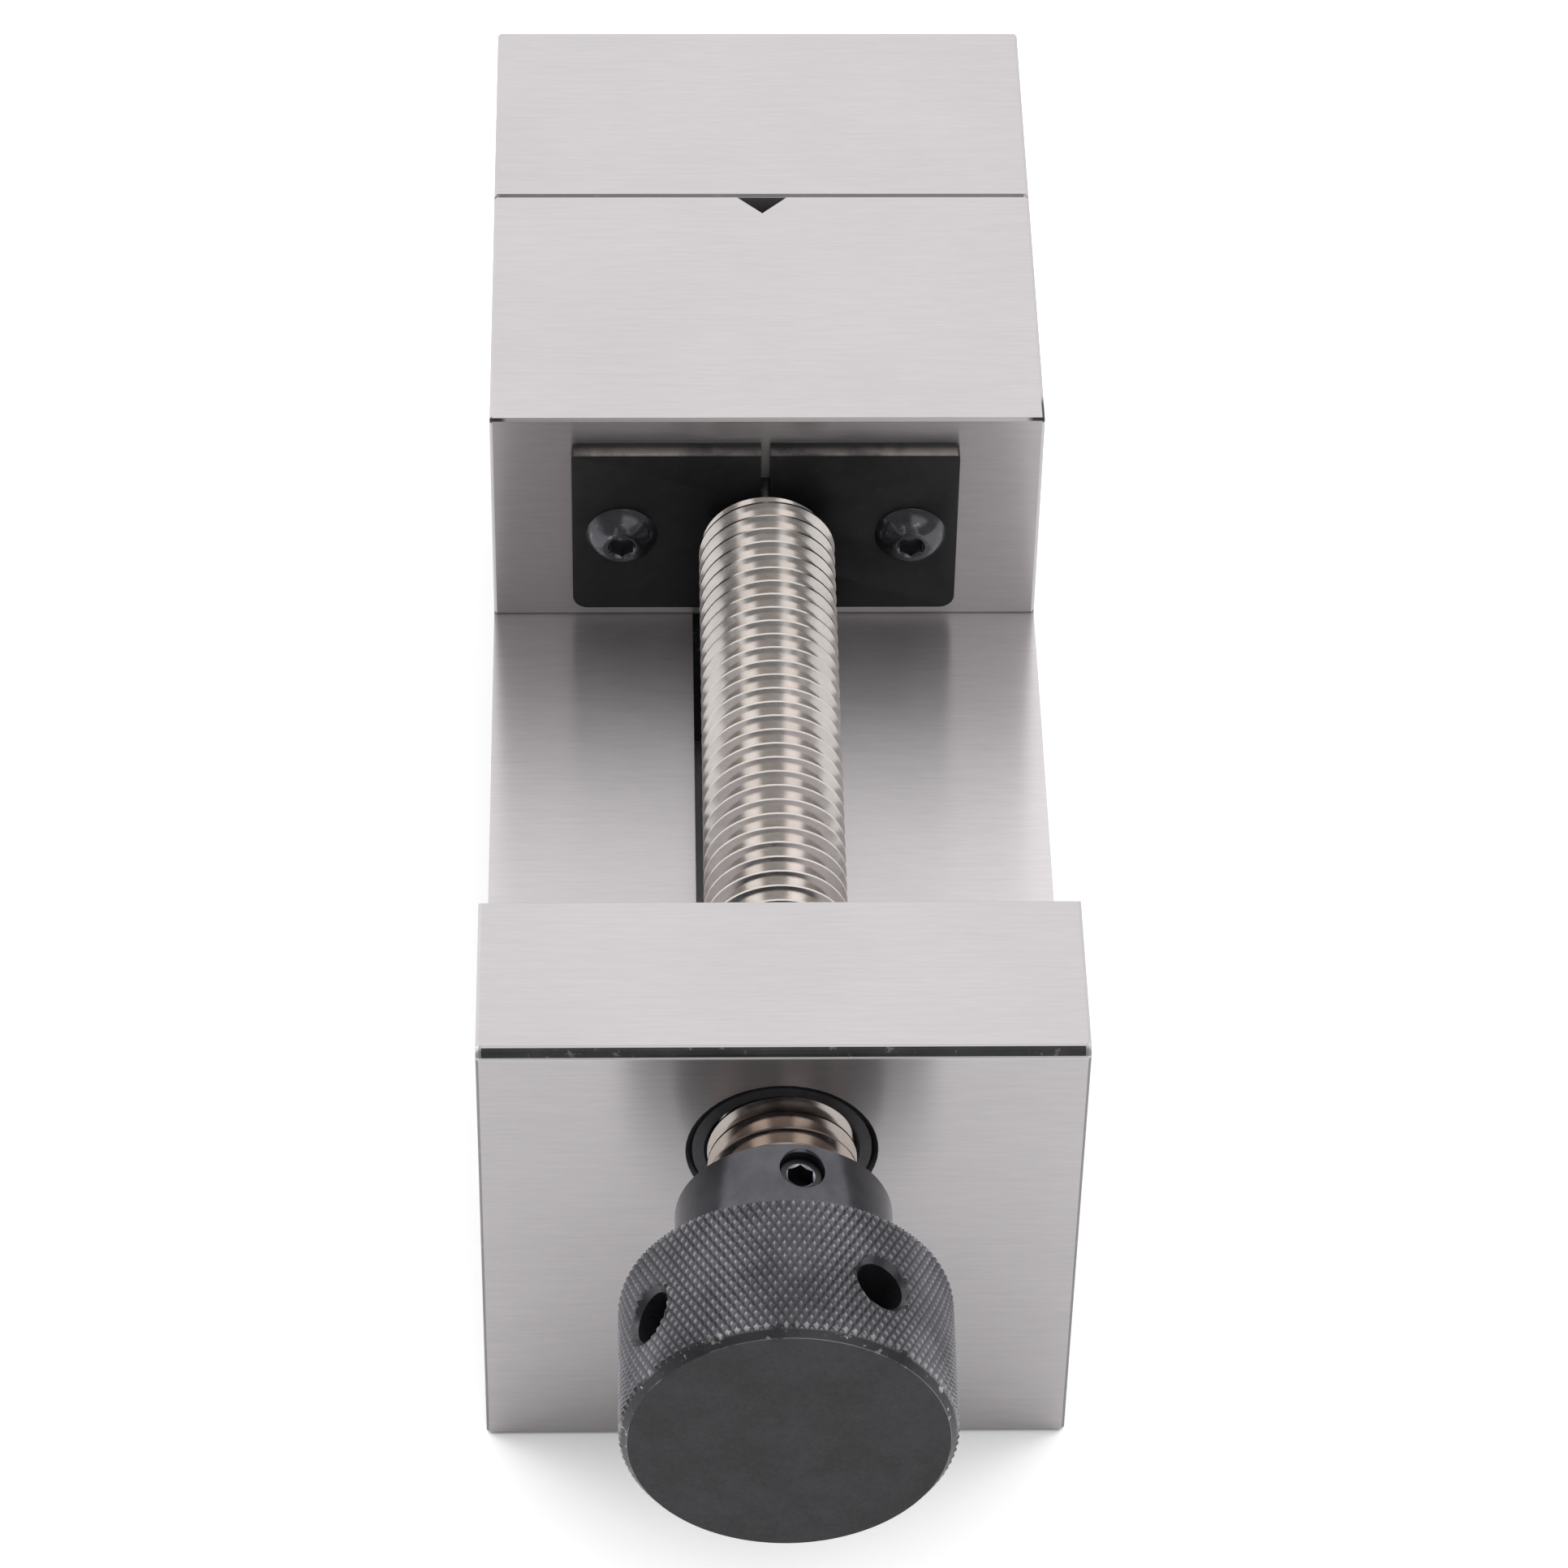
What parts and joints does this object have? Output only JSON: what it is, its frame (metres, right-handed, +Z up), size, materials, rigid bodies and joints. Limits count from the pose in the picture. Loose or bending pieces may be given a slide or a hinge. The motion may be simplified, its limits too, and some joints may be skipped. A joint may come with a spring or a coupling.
{
  "type": "precision vise",
  "caption": "Screw-type precision tool vise: ground base with integral fixed jaw and screw block, sliding jaw on a keeper, lead screw with a knurled knob.",
  "frame": {"origin": "on the underside, on the centre line, directly below the clamping face of the fixed jaw", "axes": "+Z up from the ground underside; +Y along the screw axis from the knob towards the fixed jaw; +X across the jaws, to the right seen from the knob"},
  "size_m": [0.073, 0.2393, 0.0732],
  "materials": {
    "ground_steel": "ground",
    "bright_steel": "turned, bright",
    "black_steel": "black oxide"
  },
  "bodies": {
    "base": {"body": "ground_steel", "nut_bush": "black_steel"},
    "sliding_jaw": {"movable_jaw": "ground_steel", "keeper_plate": "ground_steel", "keeper_screw_front": "black_steel", "keeper_screw_rear": "black_steel", "retainer_plate_left": "black_steel", "retainer_plate_right": "black_steel", "retainer_screw_left": "black_steel", "retainer_screw_right": "black_steel"},
    "screw": {"lead_screw": "bright_steel", "knob": "black_steel", "knob_set_screw": "black_steel"}
  },
  "joints": [
    {"name": "jaw_slide", "type": "slide", "parent": "base", "child": "sliding_jaw", "axis": [0, -1, 0], "range_m": [0, 0.08]},
    {"name": "screw_spin", "type": "hinge", "parent": "sliding_jaw", "child": "screw", "pos_m": [0, -0.046, 0.0535], "axis": [0, -1, 0], "range_deg": [0, 11520]}
  ],
  "couplings": [
    {"joint": "screw_spin", "follows": "jaw_slide", "rad_per_m": 2513.3}
  ]
}
